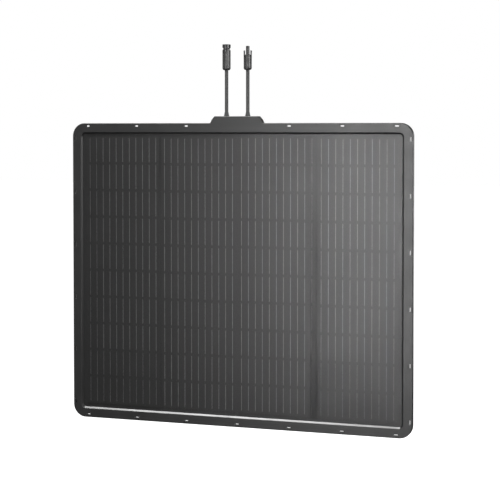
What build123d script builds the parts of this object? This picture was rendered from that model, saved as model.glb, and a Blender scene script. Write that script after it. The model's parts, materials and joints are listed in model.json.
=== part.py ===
from build123d import *
import math
import os

os.makedirs("parts", exist_ok=True)

# Flexible solar sheet, millimetres, +Z up.
# It hangs upright: the back face is the plane Y = 0, centred on the origin, and the front faces -Y.
# A depth is measured forwards from the back face, so a depth of h lies at Y = -h.

# --- driving dimensions -------------------------------------------------------------------------

FRAME_W = 812.0
FRAME_H = 689.0
FRAME_R = 30.0
DEPTH = 10.0
SPLIT = 4.0              # depth of the joint between rear frame and bezel
EDGE_ROUND = 1.5

BORDER = 20.8            # outer edge to the rim of the recess
BEVEL = 3.7              # width of the recess's sloping wall
RECESS_R = 11.0
WINDOW_R = 8.0
GROOVE_INSET = 12.0      # outer edge to the wall of the groove that holds the sheet
GROOVE_R = 18.0
SEAL_W = 2.0             # bead between the groove's wall and the sheet
RIM_ROUND = 0.8
CORNER_ROUND = 2.0       # corners of the tab and of the box cavity

# Depths of the sheet's layers
BACK_FACE = SPLIT
BACK_FRONT = 5.5
CELL_BACK = 6.1
CELL_FRONT = 6.3
RIBBON_FRONT = 6.45
COVER_FRONT = 6.6
FILM_BACK = 6.7
FILM_FRONT = 7.0
RIBBON_T = RIBBON_FRONT - CELL_FRONT

# Cells and interconnects
CELL_W = 182.0
CELL_H = CELL_W / 3
COLUMNS = 4
ROWS = 10
COLUMN_PITCH = 187.0
ROW_PITCH = 62.2
ARRAY_Z = 1.9            # the cells sit this far above the middle of the sheet
RIBBON_LINES = 11
RIBBON_PITCH = CELL_W / RIBBON_LINES
RIBBON_W = 1.1
DASH = 57.7              # visible length of a ribbon on each cell
BUS_W = 5.0
BUS_GAP = 1.75           # last cell to the bus
BUS_ROW_STEP = 7.0       # first bus row to the return row
POCKET_GAP = 0.25        # around the cells and foils in the encapsulant
FIT_GAP = 0.2            # around a loose part in its opening
SNUG_GAP = 0.03          # around a part that sits tight in its bore
RISER_W = 8.0
RISER_X = 31.0
RISER_TOP = 341.0
COVER_STRIP_W = 20.0

# Edge slots
SLOT_L = 11.0
SLOT_W = 3.0
SLOT_INSET = 6.7
SLOT_PITCH_X = 122.8
SLOT_PITCH_Z = 123.4

# Junction box in the tab on the top edge
TAB_H = 15.5
TAB_TOP_W = 106.0
TAB_SHOULDER_W = 120.0
TAB_BASE_W = 127.0
TAB_SHOULDER_DROP = 8.0
BOX_W = 92.0
BOX_LOW = 335.0
BOX_HIGH = 356.0
BOX_FLOOR = 7.1          # depth of the box's front wall
COVER_T = 0.7
COVER_LIP = 3.0          # ledge under the cover at the cavity's ends
COVER_LEDGE = 2.0        # and along its long sides
COVER_R = 3.0
PLATE_LOW = 337.0
PLATE_HIGH = 352.0

# Leads and strain reliefs
LEAD_X = 25.3
LEAD_DEPTH = 5.0
LEAD_D = 8.0
CORE_D = 2.6
RELIEF_H = 8.5
RELIEF_BASE = (6.3, 4.6)
RELIEF_MID = (5.1, 4.5)
RELIEF_TOP = (4.4, 4.39)

# Connectors: heights are measured from the rear end
CONNECTOR_Z = 463.5
SOCKET_LENGTH = 58.0
PLUG_LENGTH = 53.8
SOCKET_R = 9.3
PLUG_R = 9.2
NUT_H = 20.0
NUT_GAP = 0.3
SPIGOT_R = 7.3
SPIGOT_LOW = 10.0
THREAD_GAP = 0.1
SEAL_BORE_R = 6.1
SEAL_LOW = 14.0
SEAL_HIGH = 22.0
LEAD_END = 24.0          # height inside the connector at which the lead's sheath stops
NOSE_R = 4.0
NOSE_BASE = PLUG_LENGTH - 20.3
MOUTH_R = 4.3
MOUTH_LOW = 36.0
FLUTES = 8
FLUTE_R = 2.2
FLUTE_DEPTH = 0.8
ARM_X = 8.0
ARM_T = 2.1
ARM_W = 4.4
ARM_ROOT = 25.0
ARM_TIP = NOSE_BASE + 10.3
ARM_GAP = 0.3
HOOK = 0.5               # how far the arm's hook stands out
HOOK_H = 3.2

TOP = FRAME_H / 2
TAB_TOP = TOP + TAB_H
SHEET_INSET = GROOVE_INSET + SEAL_W
WINDOW_INSET = BORDER + BEVEL
SHEET_W = FRAME_W - 2 * SHEET_INSET
SHEET_H = FRAME_H - 2 * SHEET_INSET
SHEET_R = GROOVE_R - SEAL_W
ARRAY_HALF_H = ((ROWS - 1) * ROW_PITCH + CELL_H) / 2
BUS_HALF_Z = ARRAY_HALF_H + BUS_GAP + BUS_W / 2
BUS_HIGH = ARRAY_Z + BUS_HALF_Z
BUS_LOW = ARRAY_Z - BUS_HALF_Z
RETURN_Z = BUS_HIGH + BUS_ROW_STEP
BOX_MID = (BOX_LOW + BOX_HIGH) / 2
BOX_H = BOX_HIGH - BOX_LOW


def at_depth(h):
    """Plane parallel to the back face, h in front of it; extruding goes towards the front."""
    return Plane.XZ.offset(h)


def save(part, name):
    part.label = name
    export_step(part, f"parts/{name}.step")


def layer(width, height, radius, back, front):
    with BuildPart() as plate:
        with BuildSketch(at_depth(back)):
            RectangleRounded(width, height, radius)
        extrude(amount=front - back)
    return plate.part


# --- outline and slots shared by bezel and rear frame -------------------------------------------

with BuildSketch(Plane.XY) as frame_outline:
    RectangleRounded(FRAME_W, FRAME_H, FRAME_R)
    with BuildLine():
        Polyline(
            (-TAB_BASE_W / 2, TOP - 1),
            (-TAB_BASE_W / 2, TOP),
            (-TAB_SHOULDER_W / 2, TAB_TOP - TAB_SHOULDER_DROP),
            (-TAB_TOP_W / 2, TAB_TOP),
            (TAB_TOP_W / 2, TAB_TOP),
            (TAB_SHOULDER_W / 2, TAB_TOP - TAB_SHOULDER_DROP),
            (TAB_BASE_W / 2, TOP),
            (TAB_BASE_W / 2, TOP - 1),
            close=True,
        )
    make_face()
    tab_corners = frame_outline.vertices().group_by(Axis.Y)[-2:]
    fillet(tab_corners[0] + tab_corners[1], CORNER_ROUND)

slot_x = FRAME_W / 2 - SLOT_INSET
slot_z = FRAME_H / 2 - SLOT_INSET
level_slots = [(k * SLOT_PITCH_X, -slot_z) for k in range(-3, 4)]
level_slots += [(k * SLOT_PITCH_X, slot_z) for k in range(-3, 4) if k != 0]
upright_slots = [(s * slot_x, k * SLOT_PITCH_Z / 2) for s in (-1, 1) for k in (-5, -3, -1, 1, 3, 5)]

with BuildSketch(Plane.XY) as edge_slots:
    with Locations(*level_slots):
        SlotOverall(SLOT_L, SLOT_W)
    with Locations(*upright_slots):
        SlotOverall(SLOT_L, SLOT_W, rotation=90)

riser_x = (-RISER_X, 0, RISER_X)
wire_holes = [Plane((s * LEAD_X, -LEAD_DEPTH, BOX_HIGH - 1)) for s in (-1, 1)]


def cut_wire_holes():
    for hole in wire_holes:
        with BuildSketch(hole) as section:
            Circle(LEAD_D / 2 + FIT_GAP)
        extrude(section.sketch, amount=TAB_TOP - BOX_HIGH + 2, mode=Mode.SUBTRACT)


# --- frame --------------------------------------------------------------------------------------

with BuildPart() as front_bezel:
    with BuildSketch(at_depth(SPLIT)):
        add(frame_outline.sketch)
    extrude(amount=DEPTH - SPLIT)
    front_edges = front_bezel.faces().sort_by(Axis.Y)[0].outer_wire().edges()
    fillet(front_edges, EDGE_ROUND)
    with BuildSketch(at_depth(SPLIT)):
        RectangleRounded(FRAME_W - 2 * GROOVE_INSET, FRAME_H - 2 * GROOVE_INSET, GROOVE_R)
    extrude(amount=FILM_FRONT - SPLIT, mode=Mode.SUBTRACT)
    with BuildSketch(at_depth(FILM_FRONT)):
        RectangleRounded(FRAME_W - 2 * WINDOW_INSET, FRAME_H - 2 * WINDOW_INSET, WINDOW_R)
    with BuildSketch(at_depth(DEPTH)):
        RectangleRounded(FRAME_W - 2 * BORDER, FRAME_H - 2 * BORDER, RECESS_R)
    loft(mode=Mode.SUBTRACT)
    recess_rim = front_bezel.faces().sort_by(Axis.Y)[0].inner_wires()[0].edges()
    fillet(recess_rim, RIM_ROUND)
    with BuildSketch(at_depth(SPLIT)):
        with Locations((0, BOX_MID)):
            RectangleRounded(BOX_W, BOX_H, CORNER_ROUND)
    extrude(amount=BOX_FLOOR - SPLIT, mode=Mode.SUBTRACT)
    with BuildSketch(at_depth(CELL_BACK - FIT_GAP / 2)):
        with Locations(*[(x, BOX_LOW - 1) for x in riser_x]):
            Rectangle(RISER_W + 1, 5)
    extrude(amount=CELL_FRONT - CELL_BACK + FIT_GAP, mode=Mode.SUBTRACT)
    cut_wire_holes()
    with BuildSketch(at_depth(SPLIT)):
        add(edge_slots.sketch)
    extrude(amount=DEPTH - SPLIT, mode=Mode.SUBTRACT)
save(front_bezel.part, "front_bezel")

with BuildPart() as rear_frame:
    with BuildSketch(at_depth(0)):
        add(frame_outline.sketch)
    extrude(amount=SPLIT)
    back_edges = rear_frame.faces().sort_by(Axis.Y)[-1].outer_wire().edges()
    fillet(back_edges, EDGE_ROUND / 2)
    with BuildSketch(at_depth(0)):
        RectangleRounded(FRAME_W - 2 * WINDOW_INSET, FRAME_H - 2 * WINDOW_INSET, WINDOW_R)
        with Locations((0, BOX_MID)):
            RectangleRounded(BOX_W, BOX_H, CORNER_ROUND)
    extrude(amount=SPLIT, mode=Mode.SUBTRACT)
    with BuildSketch(at_depth(0)):
        with Locations((0, BOX_MID)):
            RectangleRounded(BOX_W + 2 * COVER_LIP, BOX_H + 2 * COVER_LEDGE, COVER_R)
    extrude(amount=COVER_T, mode=Mode.SUBTRACT)
    cut_wire_holes()
    with BuildSketch(at_depth(0)):
        add(edge_slots.sketch)
    extrude(amount=SPLIT, mode=Mode.SUBTRACT)
save(rear_frame.part, "rear_frame")

with BuildPart() as edge_seal:
    with BuildSketch(at_depth(SPLIT)):
        RectangleRounded(FRAME_W - 2 * GROOVE_INSET, FRAME_H - 2 * GROOVE_INSET, GROOVE_R)
        RectangleRounded(SHEET_W, SHEET_H, SHEET_R, mode=Mode.SUBTRACT)
    extrude(amount=FILM_FRONT - SPLIT)
    with BuildSketch(at_depth(CELL_BACK)):
        with Locations(*[(x, SHEET_H / 2 + SEAL_W / 2) for x in riser_x]):
            Rectangle(RISER_W + 2 * FIT_GAP, SEAL_W + 1)
    extrude(amount=CELL_FRONT - CELL_BACK, mode=Mode.SUBTRACT)
save(edge_seal.part, "edge_seal")

# --- sheet --------------------------------------------------------------------------------------

save(layer(SHEET_W, SHEET_H, SHEET_R, FILM_BACK, FILM_FRONT), "front_film")
save(layer(SHEET_W, SHEET_H, SHEET_R, BACK_FACE, BACK_FRONT), "back_sheet")

column_x = [(c - (COLUMNS - 1) / 2) * COLUMN_PITCH for c in range(COLUMNS)]
row_z = [(r - (ROWS - 1) / 2) * ROW_PITCH for r in range(ROWS)]
line_x = [(k - (RIBBON_LINES - 1) / 2) * RIBBON_PITCH for k in range(RIBBON_LINES)]
cover_x = column_x[2] + line_x[-1] + COVER_STRIP_W / 2 - 5
pocket_w = CELL_W + 2 * POCKET_GAP
pocket_h = 2 * (BUS_HALF_Z + BUS_W / 2 + POCKET_GAP)


def string_pockets():
    with Locations(*[(x, ARRAY_Z) for x in column_x]):
        Rectangle(pocket_w, pocket_h)


with BuildPart() as front_encapsulant:
    with BuildSketch(at_depth(CELL_BACK)):
        RectangleRounded(SHEET_W, SHEET_H, SHEET_R)
    extrude(amount=FILM_BACK - CELL_BACK)
    with BuildSketch(at_depth(CELL_BACK)):
        string_pockets()
        with Locations((0, BUS_HIGH), (0, BUS_LOW)):
            Rectangle(COLUMN_PITCH * 3, BUS_W + 2 * POCKET_GAP)
        with Locations((0, RETURN_Z)):
            Rectangle(COLUMN_PITCH * 2 + 4 * BUS_W, BUS_W + 2 * POCKET_GAP)
        with Locations(*[(s * (COLUMN_PITCH + BUS_W / 2), (BUS_HIGH + RETURN_Z) / 2) for s in (-1, 1)]):
            Rectangle(BUS_W + 2 * POCKET_GAP, BUS_ROW_STEP)
        with Locations(*[(x, (BUS_HIGH + SHEET_H / 2) / 2) for x in riser_x]):
            Rectangle(RISER_W + 2 * FIT_GAP, SHEET_H / 2 - BUS_HIGH)
    extrude(amount=RIBBON_FRONT - CELL_BACK, mode=Mode.SUBTRACT)
    with BuildSketch(at_depth(RIBBON_FRONT)):
        with Locations((cover_x, ARRAY_Z)):
            Rectangle(COVER_STRIP_W, 2 * ARRAY_HALF_H)
    extrude(amount=COVER_FRONT - RIBBON_FRONT, mode=Mode.SUBTRACT)
save(front_encapsulant.part, "front_encapsulant")

with BuildPart() as rear_encapsulant:
    with BuildSketch(at_depth(BACK_FRONT)):
        RectangleRounded(SHEET_W, SHEET_H, SHEET_R)
    extrude(amount=CELL_BACK - BACK_FRONT)
    with BuildSketch(at_depth(CELL_BACK - RIBBON_T)):
        string_pockets()
    extrude(amount=RIBBON_T, mode=Mode.SUBTRACT)
save(rear_encapsulant.part, "rear_encapsulant")

with BuildPart() as gap_cover_strip:
    with BuildSketch(at_depth(RIBBON_FRONT)):
        with Locations((cover_x, ARRAY_Z)):
            Rectangle(COVER_STRIP_W, 2 * ARRAY_HALF_H)
    extrude(amount=COVER_FRONT - RIBBON_FRONT)
save(gap_cover_strip.part, "gap_cover_strip")


def cell_string(x):
    with BuildPart() as cells:
        with BuildSketch(at_depth(CELL_BACK)):
            with Locations(*[(x, ARRAY_Z + z) for z in row_z]):
                Rectangle(CELL_W, CELL_H)
        extrude(amount=CELL_FRONT - CELL_BACK)
    return cells.part


def ribbon_outlines(way):
    """Side views of one line of interconnects, as (Y, Z) points; way is 1 up or -1 down.
    Each piece lies on a cell's front, steps back in the gap and ends behind the next cell."""
    front, rear = -CELL_FRONT, -CELL_BACK
    past_cell = (CELL_H - DASH) * 0.5 + BUS_GAP
    outlines = []
    for z in row_z[:-1]:
        low = z + CELL_H / 2 - DASH
        gap_low = z + CELL_H / 2 + 0.3
        gap_high = z + ROW_PITCH - CELL_H / 2 - 0.3
        high = z + ROW_PITCH - CELL_H / 2 + DASH
        outlines.append([
            (front, low), (front - RIBBON_T, low), (front - RIBBON_T, gap_low), (rear, gap_high),
            (rear, high), (rear + RIBBON_T, high), (rear + RIBBON_T, gap_high), (front, gap_low),
        ])
    last_low = row_z[-1] + CELL_H / 2 - DASH
    last_high = BUS_HALF_Z + BUS_W / 2 - 0.5
    outlines.append([
        (front, last_low), (front - RIBBON_T, last_low), (front - RIBBON_T, last_high), (front, last_high),
    ])
    first_high = row_z[0] - CELL_H / 2 + DASH
    outlines.append([
        (rear, -last_high), (rear, first_high), (rear + RIBBON_T, first_high), (rear + RIBBON_T, -last_high),
    ])
    return [[(y, ARRAY_Z + way * z) for y, z in outline] for outline in outlines]


def ribbon_string(x, way):
    with BuildPart() as ribbons:
        for line in line_x:
            with BuildSketch(Plane.YZ.offset(x + line - RIBBON_W / 2)):
                for outline in ribbon_outlines(way):
                    with BuildLine():
                        Polyline(*outline, close=True)
                    make_face()
            extrude(amount=RIBBON_W)
    return ribbons.part


for index, x in enumerate(column_x):
    save(cell_string(x), f"cell_string_{index + 1}")
    save(ribbon_string(x, 1 if index % 2 == 0 else -1), f"ribbons_string_{index + 1}")


def span(low, high, z):
    """A stretch of bus foil from x = low to x = high."""
    with Locations(((low + high) / 2, z)):
        Rectangle(high - low, BUS_W)


outer_x = COLUMN_PITCH * 1.5 + CELL_W / 2 - 1
inner_x = COLUMN_PITCH + (COLUMN_PITCH - CELL_W) / 2
with BuildPart() as top_bus_ribbons:
    with BuildSketch(at_depth(CELL_BACK)):
        span(-COLUMN_PITCH + 6 * POCKET_GAP, COLUMN_PITCH - 6 * POCKET_GAP, BUS_HIGH)
        with Locations((0, (BUS_HIGH + RISER_TOP) / 2)):
            Rectangle(RISER_W, RISER_TOP - BUS_HIGH)
        for side in (-1, 1):
            span(*sorted((side * outer_x, side * COLUMN_PITCH)), BUS_HIGH)
            span(*sorted((side * (COLUMN_PITCH + BUS_W), side * (RISER_X - RISER_W / 2))), RETURN_Z)
            with Locations((side * (COLUMN_PITCH + BUS_W / 2), (BUS_HIGH + RETURN_Z) / 2)):
                Rectangle(BUS_W, BUS_ROW_STEP)
            with Locations((side * RISER_X, (RETURN_Z + RISER_TOP) / 2)):
                Rectangle(RISER_W, RISER_TOP - RETURN_Z)
    extrude(amount=CELL_FRONT - CELL_BACK)
save(top_bus_ribbons.part, "top_bus_ribbons")

with BuildPart() as bottom_bus_ribbons:
    with BuildSketch(at_depth(CELL_BACK)):
        span(-outer_x, -3, BUS_LOW)
        span(3, outer_x, BUS_LOW)
    extrude(amount=CELL_FRONT - CELL_BACK)
save(bottom_bus_ribbons.part, "bottom_bus_ribbons")

# --- junction box -------------------------------------------------------------------------------

PLATE_T = BOX_FLOOR - CELL_FRONT
PLATE_GAP = 10.5         # between the centre plate and each side plate
CENTRE_PLATE_W = 18.0
SIDE_PLATE_W = 18.5
side_plate_x = CENTRE_PLATE_W / 2 + PLATE_GAP + SIDE_PLATE_W / 2
diode_x = CENTRE_PLATE_W / 2 + PLATE_GAP / 2
DIODE_W = 8.0
DIODE_H = 7.0
DIODE_T = 2.8
DIODE_Z = 341.5
DIODE_CHAMFER = 0.5
DIODE_LEAD_H = 3.0
DIODE_LEAD_T = 0.5
CLAMP_Z = 348.0
CLAMP_W = 7.0
CLAMP_H = 6.0
CLAMP_BACK = 3.0

with BuildPart() as terminal_plates:
    with BuildSketch(at_depth(CELL_FRONT)):
        with Locations((0, (PLATE_LOW + PLATE_HIGH) / 2)):
            RectangleRounded(CENTRE_PLATE_W, PLATE_HIGH - PLATE_LOW, 1)
        with Locations(*[(s * side_plate_x, (PLATE_LOW + PLATE_HIGH) / 2) for s in (-1, 1)]):
            RectangleRounded(SIDE_PLATE_W, PLATE_HIGH - PLATE_LOW, 1)
    extrude(amount=PLATE_T)
save(terminal_plates.part, "terminal_plates")

with BuildPart() as bypass_diodes:
    with BuildSketch(at_depth(BOX_FLOOR - DIODE_T)):
        with Locations((-diode_x, DIODE_Z), (diode_x, DIODE_Z)):
            Rectangle(DIODE_W, DIODE_H)
    extrude(amount=DIODE_T)
    chamfer(bypass_diodes.faces().filter_by(Axis.Y).sort_by(Axis.Y)[-2:].edges(), DIODE_CHAMFER)
save(bypass_diodes.part, "bypass_diodes")

lead_w = (PLATE_GAP - DIODE_W) / 2 + 2
lead_spots = [
    (s * (diode_x + t * (DIODE_W + lead_w) / 2), DIODE_Z) for s in (-1, 1) for t in (-1, 1)
]
with BuildPart() as diode_leads:
    with BuildSketch(at_depth(CELL_FRONT - DIODE_LEAD_T)):
        with Locations(*lead_spots):
            Rectangle(lead_w, DIODE_LEAD_H)
    extrude(amount=DIODE_LEAD_T)
save(diode_leads.part, "diode_leads")

core_low = CLAMP_Z - CLAMP_H / 2 - 1
with BuildPart() as lead_cores:
    with BuildSketch(Plane.XY.offset(core_low)):
        with Locations((-LEAD_X, -LEAD_DEPTH), (LEAD_X, -LEAD_DEPTH)):
            Circle(CORE_D / 2)
    extrude(amount=BOX_HIGH - core_low)
save(lead_cores.part, "lead_cores")

with BuildPart() as core_clamps:
    with BuildSketch(at_depth(CLAMP_BACK)):
        with Locations((-LEAD_X, CLAMP_Z), (LEAD_X, CLAMP_Z)):
            RectangleRounded(CLAMP_W, CLAMP_H, 1)
    extrude(amount=CELL_FRONT - CLAMP_BACK)
    with BuildSketch(Plane.XY.offset(CLAMP_Z - CLAMP_H)):
        with Locations((-LEAD_X, -LEAD_DEPTH), (LEAD_X, -LEAD_DEPTH)):
            Circle(CORE_D / 2 + SNUG_GAP)
    extrude(amount=2 * CLAMP_H, mode=Mode.SUBTRACT)
save(core_clamps.part, "core_clamps")

with BuildPart() as potting:
    with BuildSketch(at_depth(COVER_T + FIT_GAP / 2)):
        with Locations((0, BOX_MID)):
            RectangleRounded(BOX_W - FIT_GAP, BOX_H - FIT_GAP, CORNER_ROUND)
    extrude(amount=CLAMP_BACK - COVER_T - FIT_GAP)
save(potting.part, "potting")

with BuildPart() as box_cover:
    with BuildSketch(at_depth(0)):
        with Locations((0, BOX_MID)):
            RectangleRounded(
                BOX_W + 2 * COVER_LIP - FIT_GAP, BOX_H + 2 * COVER_LEDGE - FIT_GAP, COVER_R - FIT_GAP / 2
            )
    extrude(amount=COVER_T)
save(box_cover.part, "box_cover")

# --- leads and strain reliefs -------------------------------------------------------------------


def axis_plane(x, z):
    """Level plane on a lead's axis."""
    return Plane((x, -LEAD_DEPTH, z))


def strain_relief(x):
    with BuildPart() as relief:
        with BuildSketch(axis_plane(x, TAB_TOP)):
            Ellipse(*RELIEF_BASE)
        with BuildSketch(axis_plane(x, TAB_TOP + RELIEF_H * 0.5)):
            Ellipse(*RELIEF_MID)
        with BuildSketch(axis_plane(x, TAB_TOP + RELIEF_H)):
            Ellipse(*RELIEF_TOP)
        loft()
        with BuildSketch(axis_plane(x, TAB_TOP - 1)):
            Circle(LEAD_D / 2 + SNUG_GAP)
        extrude(amount=RELIEF_H + 2, mode=Mode.SUBTRACT)
    return relief.part


def lead_tube(x):
    """The lead stands straight, so its route is one run from the box wall to the contact."""
    start = Vector(x, -LEAD_DEPTH, BOX_HIGH)
    end = Vector(x, -LEAD_DEPTH, CONNECTOR_Z + LEAD_END)
    with BuildPart() as tube:
        with BuildLine() as route:
            Line(start, end)
        with BuildSketch(Plane(start, z_dir=end - start)):
            Circle(LEAD_D / 2)
        sweep(path=route.line)
    length = (end - start).length
    print(f"lead at x {x}: {length:.1f} mm, one straight run with no bend, so no radius;",
          f"volume {tube.part.volume:.0f}, section times length {math.pi * LEAD_D ** 2 / 4 * length:.0f}")
    return tube.part


for side, name in ((-1, "left"), (1, "right")):
    save(strain_relief(side * LEAD_X), f"strain_relief_{name}")
    save(lead_tube(side * LEAD_X), f"lead_{name}")

# --- connectors ---------------------------------------------------------------------------------


def upright_plane(x, forward):
    """Upright plane facing front, this far in front of a lead's axis, with its origin at the nut's end."""
    return Plane((x, -LEAD_DEPTH - forward, CONNECTOR_Z), x_dir=(1, 0, 0), z_dir=(0, -1, 0))


def turned(x, *outlines):
    """Revolve closed (radius, height) outlines about a connector's axis."""
    with BuildSketch(upright_plane(x, 0)) as section:
        for outline in outlines:
            with BuildLine():
                Polyline(*outline, close=True)
            make_face()
    revolve(section.sketch, axis=Axis((x, -LEAD_DEPTH, 0), (0, 0, 1)))


def cut_flutes(x, radius, low, high):
    with BuildSketch(axis_plane(x, CONNECTOR_Z + low)) as grooves:
        with PolarLocations(radius + FLUTE_R - FLUTE_DEPTH, FLUTES, start_angle=90 + 180 / FLUTES):
            Circle(FLUTE_R)
    extrude(grooves.sketch, amount=high - low, mode=Mode.SUBTRACT)


CAGE_STEP = 9.4
CAGE_LOW = 4.5
CAGE_HIGH = 13.6
CAGE_BORE_R = LEAD_D / 2 + 0.3
CAGE_TIP_R = 5.2
CAGE_FOOT_R = 6.3
NUT_FLUTE_LOW = 3.6
SLITS = 6


def gland_nut(x, radius):
    with BuildPart() as nut:
        rounded = [(radius - 3.6, 0), (radius - 1.7, 0.9), (radius - 0.5, 2.5), (radius, 4.6)]
        cone = [(CAGE_FOOT_R + 0.4, CAGE_STEP + FIT_GAP), (CAGE_TIP_R + 0.1, CAGE_LOW - 1)]
        bore = [
            (SPIGOT_R + THREAD_GAP, NUT_H), (SPIGOT_R + THREAD_GAP, CAGE_STEP + FIT_GAP), *cone,
            (LEAD_D / 2 + 2 * FIT_GAP, CAGE_LOW - 1), (LEAD_D / 2 + 2 * FIT_GAP, 0),
        ]
        turned(x, rounded + [(radius, NUT_H)] + bore)
        cut_flutes(x, radius, NUT_FLUTE_LOW, NUT_H)
    return nut.part


def cage(x):
    with BuildPart() as collet:
        turned(x, [
            (CAGE_BORE_R, CAGE_LOW), (CAGE_TIP_R, CAGE_LOW), (CAGE_FOOT_R, CAGE_STEP),
            (SEAL_BORE_R - 0.3, CAGE_STEP), (SEAL_BORE_R - 0.3, CAGE_HIGH), (CAGE_BORE_R, CAGE_HIGH),
        ])
        with BuildSketch(axis_plane(x, CONNECTOR_Z + CAGE_LOW)):
            with PolarLocations(5, SLITS):
                Rectangle(5, 1)
        extrude(amount=CAGE_STEP - CAGE_LOW, mode=Mode.SUBTRACT)
    return collet.part


def wire_seal(x):
    inner = LEAD_D / 2 + SNUG_GAP
    outer = SEAL_BORE_R - SNUG_GAP
    groove = 0.5
    ridge = (SEAL_HIGH - SEAL_LOW) / 3
    outline = [(inner, SEAL_LOW)]
    for k in range(3):
        low = SEAL_LOW + k * ridge
        outline += [(outer - groove, low), (outer, low + ridge * 0.35), (outer, low + ridge * 0.65)]
    outline += [(outer - groove, SEAL_HIGH), (inner, SEAL_HIGH)]
    with BuildPart() as seal:
        turned(x, outline)
    return seal.part


SHEATH_R = LEAD_D / 2 + FIT_GAP
CRIMP_R = 2.5
FLANGE_R = 3.0
FLANGE_LOW = 32.0
FLANGE_HIGH = 34.0
CONTACT_GAP = 0.1
wire_bore = [
    (SHEATH_R, SEAL_HIGH), (SHEATH_R, LEAD_END + 0.3), (FLANGE_R + CONTACT_GAP, LEAD_END + 0.3),
    (FLANGE_R + CONTACT_GAP, FLANGE_HIGH + CONTACT_GAP),
]
spigot = [
    (SEAL_BORE_R, SEAL_HIGH), (SEAL_BORE_R, SPIGOT_LOW), (SPIGOT_R, SPIGOT_LOW),
    (SPIGOT_R, NUT_H + NUT_GAP),
]

# Socket connector: an open mouth around a pin, with a latch window cut in at each side.
PIN_R = 1.95
PIN_TIP = 50.0
WAIST_X = 5.0            # half width of the waist between the latch windows
WAIST_LOW = 47.2
WAIST_HIGH = 48.6
WAIST_TOP = 52.0         # where the head starts to narrow
SHOULDER = 43.8          # where the barrel's shoulders end
CHANNEL_X = 6.55         # the slot each latch arm slides in through
CHANNEL_T = 2.7
FLUTES_END = 41.0
socket_x = -LEAD_X

with BuildPart() as socket_housing:
    turned(socket_x, spigot + [
        (SOCKET_R, NUT_H + NUT_GAP), (SOCKET_R, SOCKET_LENGTH - 0.6), (SOCKET_R - 0.6, SOCKET_LENGTH),
        (MOUTH_R, SOCKET_LENGTH), (MOUTH_R, MOUTH_LOW), (PIN_R + CONTACT_GAP, MOUTH_LOW),
        (PIN_R + CONTACT_GAP, FLANGE_HIGH + CONTACT_GAP),
    ] + wire_bore[::-1])
    cut_flutes(socket_x, SOCKET_R, NUT_H + NUT_GAP, FLUTES_END)
    with BuildSketch(upright_plane(socket_x, -SOCKET_R - 1)):
        for side in (-1, 1):
            with BuildLine():
                Polyline(
                    (side * (SOCKET_R + 1), WAIST_TOP + 0.6), (side * SOCKET_R, WAIST_TOP),
                    (side * WAIST_X, WAIST_HIGH), (side * WAIST_X, WAIST_LOW),
                    (side * SOCKET_R, SHOULDER), (side * (SOCKET_R + 1), SHOULDER - 0.4), close=True,
                )
            make_face()
    extrude(amount=2 * SOCKET_R + 2, mode=Mode.SUBTRACT)
    with BuildSketch(axis_plane(socket_x, CONNECTOR_Z + SHOULDER)):
        with Locations((-CHANNEL_X, 0), (CHANNEL_X, 0)):
            Rectangle(CHANNEL_T, ARM_W)
    extrude(amount=SOCKET_LENGTH - SHOULDER, mode=Mode.SUBTRACT)
save(socket_housing.part, "socket_housing")

with BuildPart() as contact_pin:
    turned(socket_x, [
        (0, LEAD_END), (CRIMP_R, LEAD_END), (CRIMP_R, FLANGE_LOW), (FLANGE_R, FLANGE_LOW),
        (FLANGE_R, FLANGE_HIGH), (PIN_R, FLANGE_HIGH), (PIN_R, PIN_TIP - 1.5), (PIN_R - 1, PIN_TIP),
        (0, PIN_TIP),
    ])
save(contact_pin.part, "contact_pin")

# Plug connector: a nose around a contact sleeve, with a sprung latch arm at each side.
SLEEVE_R = 2.5
plug_x = LEAD_X
arm_slot_low = ARM_ROOT - ARM_T / 2 - ARM_GAP
arm_slot_in = ARM_X - ARM_T / 2 - 1.6

with BuildPart() as plug_housing:
    turned(plug_x, spigot + [
        (PLUG_R, NUT_H + NUT_GAP), (PLUG_R, NOSE_BASE - 0.8), (PLUG_R - 0.8, NOSE_BASE),
        (NOSE_R, NOSE_BASE), (NOSE_R, PLUG_LENGTH - 0.5), (NOSE_R - 0.5, PLUG_LENGTH),
        (SLEEVE_R + CONTACT_GAP, PLUG_LENGTH), (SLEEVE_R + CONTACT_GAP, FLANGE_HIGH + CONTACT_GAP),
    ] + wire_bore[::-1])
    cut_flutes(plug_x, PLUG_R, NUT_H + NUT_GAP, NOSE_BASE - 3)
    with BuildSketch(axis_plane(plug_x, CONNECTOR_Z + arm_slot_low)):
        with Locations((-arm_slot_in - 2, 0), (arm_slot_in + 2, 0)):
            Rectangle(4, ARM_W + 2 * ARM_GAP)
    extrude(amount=NOSE_BASE - arm_slot_low + 1, mode=Mode.SUBTRACT)
save(plug_housing.part, "plug_housing")

with BuildPart() as contact_sleeve:
    turned(plug_x, [
        (0, LEAD_END), (CRIMP_R, LEAD_END), (CRIMP_R, FLANGE_LOW), (FLANGE_R, FLANGE_LOW),
        (FLANGE_R, FLANGE_HIGH), (SLEEVE_R, FLANGE_HIGH), (SLEEVE_R, PLUG_LENGTH - 1.5),
        (PIN_R + 0.05, PLUG_LENGTH - 1.5), (PIN_R + 0.05, FLANGE_HIGH + 1), (0, FLANGE_HIGH + 1),
    ])
save(contact_sleeve.part, "contact_sleeve")

NOSE_SEAL_R = 0.7
with BuildPart() as nose_seal:
    seal_z = NOSE_BASE + NOSE_SEAL_R + SNUG_GAP
    with BuildSketch(upright_plane(plug_x, 0)):
        with Locations((NOSE_R + NOSE_SEAL_R + SNUG_GAP, seal_z)):
            Circle(NOSE_SEAL_R)
    revolve(axis=Axis((plug_x, -LEAD_DEPTH, 0), (0, 0, 1)))
save(nose_seal.part, "nose_seal")


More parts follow.
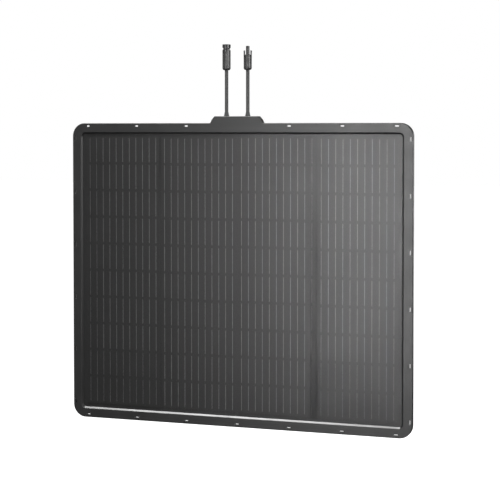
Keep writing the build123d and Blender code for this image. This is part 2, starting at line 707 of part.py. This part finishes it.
def latch_arm(side):
    """A flat arm with a round root, on which it bends, and a hook at its tip."""
    inner = side * (ARM_X - ARM_T / 2)
    outer = side * (ARM_X + ARM_T / 2)
    with BuildPart() as arm:
        with BuildSketch(upright_plane(plug_x, -ARM_W / 2)):
            with BuildLine():
                Polyline(
                    (inner, ARM_ROOT), (outer, ARM_ROOT), (outer, ARM_TIP - HOOK_H - 0.2),
                    (outer + side * HOOK, ARM_TIP - HOOK_H), (outer - side * HOOK, ARM_TIP), (inner, ARM_TIP),
                    close=True,
                )
            make_face()
            with Locations((side * ARM_X, ARM_ROOT)):
                Circle(ARM_T / 2)
        extrude(amount=ARM_W)
    return arm.part


save(latch_arm(-1), "latch_arm_left")
save(latch_arm(1), "latch_arm_right")

for x, radius, name in ((socket_x, SOCKET_R, "socket"), (plug_x, PLUG_R, "plug")):
    save(gland_nut(x, radius), f"{name}_gland_nut")
    save(cage(x), f"{name}_cage")
    save(wire_seal(x), f"{name}_wire_seal")
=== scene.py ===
import json
import math

import bpy
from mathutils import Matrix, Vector


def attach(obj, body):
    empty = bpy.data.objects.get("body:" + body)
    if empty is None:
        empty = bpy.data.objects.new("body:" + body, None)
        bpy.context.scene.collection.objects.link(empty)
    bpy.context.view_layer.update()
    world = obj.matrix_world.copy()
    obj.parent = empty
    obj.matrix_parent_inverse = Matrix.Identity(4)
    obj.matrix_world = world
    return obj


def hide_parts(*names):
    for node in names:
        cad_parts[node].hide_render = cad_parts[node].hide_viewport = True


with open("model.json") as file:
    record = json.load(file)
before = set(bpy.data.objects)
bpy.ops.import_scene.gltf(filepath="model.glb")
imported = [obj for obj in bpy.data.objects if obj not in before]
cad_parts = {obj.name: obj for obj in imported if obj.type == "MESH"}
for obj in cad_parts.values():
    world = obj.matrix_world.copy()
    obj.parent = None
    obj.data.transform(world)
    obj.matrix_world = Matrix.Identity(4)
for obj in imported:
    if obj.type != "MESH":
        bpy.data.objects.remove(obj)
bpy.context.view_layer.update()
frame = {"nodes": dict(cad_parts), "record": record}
nodes = frame["nodes"]
MM = 0.001

# The panel hangs upright, its cells face -Y and its junction box is at the top. Everything is in metres.

# --- camera -------------------------------------------------------------------------------------

CAMERA_YAW = math.radians(18.924)
CAMERA_PITCH = math.radians(1.935)
CAMERA_DISTANCE = 3.3353
CAMERA_TARGET = Vector((0.0289, 0.0, 0.2218))
CAMERA_LENS_MM = 106.6
CAMERA_SHIFT = -0.125    # more would crop the connectors in views from other sides


def make_camera():
    data = bpy.data.cameras.new("camera")
    data.lens = CAMERA_LENS_MM
    data.sensor_width = 36
    data.shift_y = CAMERA_SHIFT
    camera = bpy.data.objects.new("camera", data)
    back = Vector((
        math.sin(CAMERA_YAW) * math.cos(CAMERA_PITCH),
        -math.cos(CAMERA_YAW) * math.cos(CAMERA_PITCH),
        math.sin(CAMERA_PITCH),
    ))
    camera.location = CAMERA_TARGET + back * CAMERA_DISTANCE
    camera.rotation_mode = "QUATERNION"
    camera.rotation_quaternion = (-back).to_track_quat("-Z", "Y")
    bpy.context.collection.objects.link(camera)
    bpy.context.scene.camera = camera


make_camera()
bpy.context.scene.view_settings.view_transform = "Standard"

# --- materials: node helpers --------------------------------------------------------------------


class Shader:
    """A material with one Principled shader, and short ways to add texture nodes in object space."""

    def __init__(self, name, roughness, specular=0.5, metallic=0.0):
        self.material = bpy.data.materials.new(name)
        self.material.use_nodes = True
        self.tree = self.material.node_tree
        self.principled = self.tree.nodes["Principled BSDF"]
        self.set("Roughness", roughness)
        self.set("Specular IOR Level", specular)
        self.set("Metallic", metallic)
        self.coordinates = self.node("ShaderNodeTexCoord").outputs["Object"]

    def set(self, socket, value):
        self.principled.inputs[socket].default_value = value

    def node(self, kind, **settings):
        node = self.tree.nodes.new(kind)
        for key, value in settings.items():
            setattr(node, key, value)
        return node

    def link(self, output, target):
        self.tree.links.new(output, target)

    def feed(self, output, socket):
        self.link(output, self.principled.inputs[socket])

    def scaled(self, scale):
        mapping = self.node("ShaderNodeMapping")
        mapping.inputs["Scale"].default_value = scale
        self.link(self.coordinates, mapping.inputs["Vector"])
        return mapping.outputs["Vector"]

    def noise(self, size, detail=2.0, roughness=0.5, vector=None):
        """Noise whose blotches are about size metres across."""
        noise = self.node("ShaderNodeTexNoise")
        noise.inputs["Scale"].default_value = 1 / size
        noise.inputs["Detail"].default_value = detail
        noise.inputs["Roughness"].default_value = roughness
        self.link(vector or self.coordinates, noise.inputs["Vector"])
        return noise.outputs["Fac"]

    def cells(self, size, feature="F1"):
        voronoi = self.node("ShaderNodeTexVoronoi", feature=feature)
        voronoi.inputs["Scale"].default_value = 1 / size
        self.link(self.coordinates, voronoi.inputs["Vector"])
        return voronoi.outputs["Distance"]

    def math(self, operation, a, b=0.0):
        node = self.node("ShaderNodeMath", operation=operation)
        for value, socket in ((a, node.inputs[0]), (b, node.inputs[1])):
            if isinstance(value, (int, float)):
                socket.default_value = value
            else:
                self.link(value, socket)
        return node.outputs["Value"]

    def spread(self, value, low, high, start=0.3, stop=0.7):
        """Map value from start..stop to low..high."""
        node = self.node("ShaderNodeMapRange")
        node.inputs["From Min"].default_value = start
        node.inputs["From Max"].default_value = stop
        node.inputs["To Min"].default_value = low
        node.inputs["To Max"].default_value = high
        self.link(value, node.inputs["Value"])
        return node.outputs["Result"]

    def blend(self, factor, first, second):
        mix = self.node("ShaderNodeMix", data_type="RGBA")
        self.link(factor, mix.inputs["Factor"])
        for colour, socket in ((first, mix.inputs["A"]), (second, mix.inputs["B"])):
            if isinstance(colour, tuple):
                socket.default_value = colour
            else:
                self.link(colour, socket)
        return mix.outputs["Result"]

    def bump(self, height, depth, strength=1.0):
        node = self.node("ShaderNodeBump")
        node.inputs["Strength"].default_value = strength
        node.inputs["Distance"].default_value = depth
        self.link(height, node.inputs["Height"])
        self.feed(node.outputs["Normal"], "Normal")

    def separate(self):
        node = self.node("ShaderNodeSeparateXYZ")
        self.link(self.coordinates, node.inputs["Vector"])
        return node.outputs


def grey(value, tint=(1.0, 1.0, 1.0)):
    return (value * tint[0], value * tint[1], value * tint[2], 1.0)


def moulded(name, tone, roughness, grain=0.35 * MM, depth=0.012 * MM, specular=0.5):
    """Black moulded plastic: a fine spark-eroded grain, faint flow marks and uneven gloss."""
    s = Shader(name, roughness, specular)
    flow = s.noise(0.09, 3.0)
    s.feed(s.blend(flow, grey(tone * 0.9), grey(tone * 1.1)), "Base Color")
    s.feed(s.spread(s.noise(0.03, 4.0, 0.6), roughness - 0.03, roughness + 0.03), "Roughness")
    s.bump(s.noise(grain, 2.0), depth)
    return s.material


def rubber(name, tone, roughness, lines=False):
    """Black rubber or cable sheath, with fine drawing lines along Z if lines is set."""
    s = Shader(name, roughness, 0.4)
    s.set("Sheen Weight", 0.05)
    vector = s.scaled((1.0, 1.0, 0.02)) if lines else None
    fine = s.noise(0.5 * MM, 3.0, vector=vector)
    s.feed(s.blend(s.noise(0.012, 3.0), grey(tone * 0.88), grey(tone * 1.12)), "Base Color")
    s.feed(s.spread(s.noise(0.006, 3.0), roughness - 0.05, roughness + 0.05), "Roughness")
    s.bump(fine, 0.03 * MM)
    return s.material


def metal(name, colour, roughness):
    """Drawn or stamped metal with fine scratches along Z."""
    s = Shader(name, roughness, 0.5, metallic=1.0)
    scratches = s.noise(0.4 * MM, 4.0, 0.7, s.scaled((1.0, 1.0, 0.05)))
    dull = tuple(c * 0.8 for c in colour[:3]) + (1.0,)
    s.feed(s.blend(s.noise(0.004, 3.0), dull, colour), "Base Color")
    s.feed(s.spread(scratches, roughness - 0.06, roughness + 0.1), "Roughness")
    return s.material


PANEL_TONE = 0.012
PANEL_GLOSS = 0.33       # roughness of the frame, film and cells
FILM_SHARE = 0.4         # share of the light that the film's own surface sends back
RIBBON_TONE = 0.27
BUS_TONE = 0.04          # the bus foils are blackened; the ribbons past the cells are painted this same dark tone
ARRAY_TOP = 0.3103
ARRAY_BOTTOM = -0.3073
ROW_PITCH = 62.2 * MM
ARRAY_Z = 1.9 * MM       # height of the middle gap between two rows of cells
BEND_HALF = 2.8 * MM     # the ribbons are painted the bus tone this far to each side of a gap, as painted shade where they bend down into it


def film_material():
    """Clear film with a satin face, pressed into fine dimples."""
    s = Shader("film_satin", PANEL_GLOSS, 0.5)
    s.feed(s.blend(s.noise(0.12, 2.0), grey(PANEL_TONE * 0.9), grey(PANEL_TONE * 1.1)), "Base Color")
    s.feed(s.spread(s.noise(0.04, 4.0), PANEL_GLOSS - 0.02, PANEL_GLOSS + 0.02), "Roughness")
    s.bump(s.cells(1.1 * MM, "SMOOTH_F1"), 0.04 * MM, 0.5)
    inside = s.node("ShaderNodeNewGeometry").outputs["Backfacing"]
    s.feed(s.spread(inside, FILM_SHARE, 0.0, 0.0, 1.0), "Alpha")
    return s.material


def clear_material():
    """Laminating layer: almost clear."""
    s = Shader("encapsulant_clear", 0.5, 0.2)
    s.feed(s.blend(s.noise(0.05, 2.0), grey(0.010), grey(0.014)), "Base Color")
    s.set("Alpha", 0.02)
    return s.material


def cell_material():
    """Black silicon with fine printed fingers across each cell."""
    s = Shader("cell_silicon", PANEL_GLOSS, 0.5)
    height = s.separate()["Z"]
    phase = s.math("FRACT", s.math("MULTIPLY", height, 1 / (1.5 * MM)))
    finger = s.math("LESS_THAN", phase, 0.06)
    body = s.blend(s.noise(0.06, 2.0), grey(PANEL_TONE * 0.92), grey(PANEL_TONE * 1.08))
    s.feed(s.blend(finger, body, grey(PANEL_TONE * 3)), "Base Color")
    s.feed(s.spread(s.noise(0.02, 3.0), PANEL_GLOSS - 0.02, PANEL_GLOSS + 0.02), "Roughness")
    s.bump(s.noise(0.3 * MM, 2.0), 0.004 * MM)
    return s.material


def bus_material():
    """Blackened bus foil, which hardly shows beside the cells."""
    s = Shader("bus_blackened", PANEL_GLOSS, 0.5, metallic=1.0)
    s.feed(s.blend(s.noise(0.01, 3.0), grey(BUS_TONE * 0.9), grey(BUS_TONE * 1.1)), "Base Color")
    s.feed(s.spread(s.noise(0.02, 3.0), PANEL_GLOSS - 0.02, PANEL_GLOSS + 0.02), "Roughness")
    return s.material


def dark_layer_material():
    """Black pigmented layer behind the cells."""
    s = Shader("rear_layer_black", PANEL_GLOSS, 0.48)
    s.feed(s.blend(s.noise(0.06, 2.0), grey(PANEL_TONE * 0.92), grey(PANEL_TONE * 1.08)), "Base Color")
    s.bump(s.noise(0.3 * MM, 2.0), 0.004 * MM)
    return s.material


def ribbon_material():
    """Dark coated copper ribbon, with painted shade where it bends down into each gap between cells, and
    painted the bus tone past the cells.
    """
    s = Shader("ribbon_coated", PANEL_GLOSS, 0.5, metallic=0.5)
    coating = s.blend(s.noise(0.006, 3.0), grey(RIBBON_TONE * 0.9), grey(RIBBON_TONE * 1.1))
    height = s.separate()["Z"]
    past_top = s.math("GREATER_THAN", height, ARRAY_TOP)
    past_bottom = s.math("LESS_THAN", height, ARRAY_BOTTOM)
    row = s.math("MULTIPLY", s.math("SUBTRACT", height, ARRAY_Z), 1 / ROW_PITCH)
    to_gap = s.math("ABSOLUTE", s.math("SUBTRACT", row, s.math("ROUND", row)))
    # painted shade: the ribbon's colour turns to the dark bus tone where it bends down into each gap between
    # cells; past the cells it takes the same tone
    in_gap = s.math("LESS_THAN", to_gap, BEND_HALF / ROW_PITCH)
    dark_ends_and_bend_shade = s.math("ADD", in_gap, s.math("ADD", past_top, past_bottom))
    s.feed(s.blend(dark_ends_and_bend_shade, coating, grey(BUS_TONE)), "Base Color")
    s.feed(s.spread(s.noise(0.002, 3.0), PANEL_GLOSS - 0.03, PANEL_GLOSS + 0.05), "Roughness")
    s.bump(s.noise(0.6 * MM, 2.0), 0.01 * MM)
    return s.material


def glass_fibre_material():
    """Back sheet: a plain weave of glass rovings in black resin."""
    s = Shader("glass_fibre_weave", 0.45, 0.5)
    position = s.separate()
    roving = 2 * math.pi / (3.2 * MM)
    across = s.math("SINE", s.math("MULTIPLY", position["X"], roving))
    along = s.math("SINE", s.math("MULTIPLY", position["Z"], roving))
    weave = s.math("MULTIPLY", across, along)
    lift = s.spread(weave, 0.0, 1.0, -1.0, 1.0)
    s.feed(s.blend(lift, grey(0.014), grey(0.026)), "Base Color")
    s.feed(s.spread(s.noise(0.05, 3.0), 0.38, 0.5), "Roughness")
    s.bump(lift, 0.05 * MM)
    return s.material


MATERIALS = {
    "frame": moulded("frame_plastic", PANEL_TONE, PANEL_GLOSS, specular=0.43),
    "film": film_material(),
    "encapsulant": clear_material(),
    "cell": cell_material(),
    "dark_layer": dark_layer_material(),
    "ribbon": ribbon_material(),
    "bus": bus_material(),
    "tape": moulded("tape_black", PANEL_TONE, PANEL_GLOSS, 0.5 * MM, 0.005 * MM, specular=0.62),
    "back_sheet": glass_fibre_material(),
    "sealant": rubber("sealant_black", 0.02, 0.6),
    "cover": moulded("cover_plastic", 0.016, 0.5),
    "brass": metal("brass_tinned", (0.72, 0.62, 0.42, 1.0), 0.3),
    "diode": moulded("diode_epoxy", 0.02, 0.45),
    "potting": rubber("potting_silicone", 0.03, 0.4),
    "relief": rubber("relief_rubber", 0.035, 0.5),
    "lead": rubber("lead_sheath", 0.035, 0.45, lines=True),
    "connector": moulded("connector_plastic", 0.022, 0.34, 0.25 * MM, 0.008 * MM),
    "seal": rubber("seal_rubber", 0.02, 0.55),
}
OTHER_FINISHES = {"rear_encapsulant": "dark_layer", "top_bus_ribbons": "bus", "bottom_bus_ribbons": "bus"}


def paint(piece, material):
    piece.data.materials.clear()
    piece.data.materials.append(material)


def paint_cad():
    for entry in frame["record"]["subparts"]:
        name = entry["node"]
        key = OTHER_FINISHES.get(name, entry["material_slot"])
        node = nodes[name]
        if not node.material_slots:
            node.data.materials.append(MATERIALS[key])
        for place in node.material_slots:
            place.material = MATERIALS[key]


paint_cad()

# --- leads --------------------------------------------------------------------------------------

LEAD_D = 0.008
LEAD_LOW = 0.356
LEAD_HIGH = 0.4875
LEAD_X = 0.0253
LEAD_Y = -0.005
LEAD_ENDS = {
    "left": (-LEAD_X, [
        "socket_housing", "contact_pin", "socket_wire_seal", "socket_cage", "socket_gland_nut",
    ]),
    "right": (LEAD_X, [
        "plug_housing", "contact_sleeve", "nose_seal", "plug_wire_seal", "plug_cage",
        "plug_gland_nut", "latch_arm_left", "latch_arm_right",
    ]),
}


def make_lead(side):
    """Each lead is straight, so its route is one run from the box wall to the contact."""
    x, on_it = LEAD_ENDS[side]
    route = [(x, LEAD_Y, LEAD_LOW), (x, LEAD_Y, LEAD_HIGH)]
    data = bpy.data.curves.new(f"lead_{side}_sheath", "CURVE")
    data.dimensions = "3D"
    data.bevel_depth = LEAD_D / 2
    data.bevel_resolution = 8
    data.use_fill_caps = True
    spline = data.splines.new("NURBS")
    spline.points.add(len(route) - 1)
    for point, place in zip(spline.points, route):
        point.co = (*place, 1.0)
    spline.order_u = 3
    spline.use_endpoint_u = True
    lead = bpy.data.objects.new(f"lead_{side}_sheath", data)
    bpy.context.collection.objects.link(lead)
    paint(lead, MATERIALS["lead"])
    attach(lead, "panel")
    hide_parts(f"lead_{side}")


for side in LEAD_ENDS:
    make_lead(side)

# --- stage and light ----------------------------------------------------------------------------

FLOOR_Z = -1.0
WORLD_LIGHT = 0.08
FLOOR_GLOW = 1.0
LAMP_TARGET = Vector((0.0, 0.0, 0.05))
# azimuth from straight in front towards +X, height, distance, size, watts
LAMPS = {
    "key_left_low": (-11, -0.5, 3.2, (0.4, 0.4), 3.9),
    "key_left": (-11, 0.2, 3.2, (0.4, 0.4), 8.0),
    "key_low": (-6, -0.5, 3.2, (0.4, 0.4), 10.6),
    "key": (-6, 0.2, 3.2, (0.4, 0.4), 11.2),
    "key_high": (-1, 0.5, 3.2, (0.4, 0.4), 3.7),
    "recess": (-38.5, 2.75, 1.76, (2.0, 0.8), 215.0),
    "side": (159, 0.0, 3.2, (0.9, 1.4), 8.0),
    "fill": (65, 0.6, 3.0, (1.0, 1.0), 60.0),
    "back": (190, 2.2, 2.4, (1.6, 1.0), 50.0),
}


def make_floor():
    mesh = bpy.data.meshes.new("floor")
    half = 30.0
    corners = [(-half, -half, FLOOR_Z), (half, -half, FLOOR_Z), (half, half, FLOOR_Z), (-half, half, FLOOR_Z)]
    mesh.from_pydata(corners, [], [(0, 1, 2, 3)])
    floor = bpy.data.objects.new("floor", mesh)
    bpy.context.collection.objects.link(floor)
    s = Shader("floor_pale", 0.9, 0.1)
    s.feed(s.blend(s.noise(0.5, 2.0), grey(0.55), grey(0.6)), "Base Color")
    s.set("Emission Color", grey(1.0))
    s.set("Emission Strength", FLOOR_GLOW)
    floor.data.materials.append(s.material)
    floor.visible_glossy = False
    floor.visible_diffuse = False


def make_world():
    world = bpy.data.worlds.new("studio")
    bpy.context.scene.world = world
    world.use_nodes = True
    tree = world.node_tree
    output = tree.nodes["World Output"]
    light = tree.nodes["Background"]
    light.inputs["Color"].default_value = grey(1.0)
    light.inputs["Strength"].default_value = WORLD_LIGHT
    seen = tree.nodes.new("ShaderNodeBackground")
    seen.inputs["Color"].default_value = grey(1.0)
    seen.inputs["Strength"].default_value = 1.0
    path = tree.nodes.new("ShaderNodeLightPath")
    mix = tree.nodes.new("ShaderNodeMixShader")
    tree.links.new(path.outputs["Is Camera Ray"], mix.inputs["Fac"])
    tree.links.new(light.outputs["Background"], mix.inputs[1])
    tree.links.new(seen.outputs["Background"], mix.inputs[2])
    tree.links.new(mix.outputs["Shader"], output.inputs["Surface"])


def softbox(name, azimuth, height, distance, size, watts):
    """Rectangular lamp aimed at the sheet; azimuth is turned from straight in front towards +X."""
    data = bpy.data.lights.new(name, "AREA")
    data.shape = "RECTANGLE"
    data.size, data.size_y = size
    data.energy = watts
    lamp = bpy.data.objects.new(name, data)
    turn = math.radians(azimuth)
    lamp.location = (distance * math.sin(turn), -distance * math.cos(turn), height)
    lamp.rotation_mode = "QUATERNION"
    lamp.rotation_quaternion = (LAMP_TARGET - lamp.location).to_track_quat("-Z", "Y")
    bpy.context.collection.objects.link(lamp)


make_floor()
make_world()
for name, (azimuth, height, distance, size, watts) in LAMPS.items():
    softbox(name, azimuth, height, distance, size, watts)
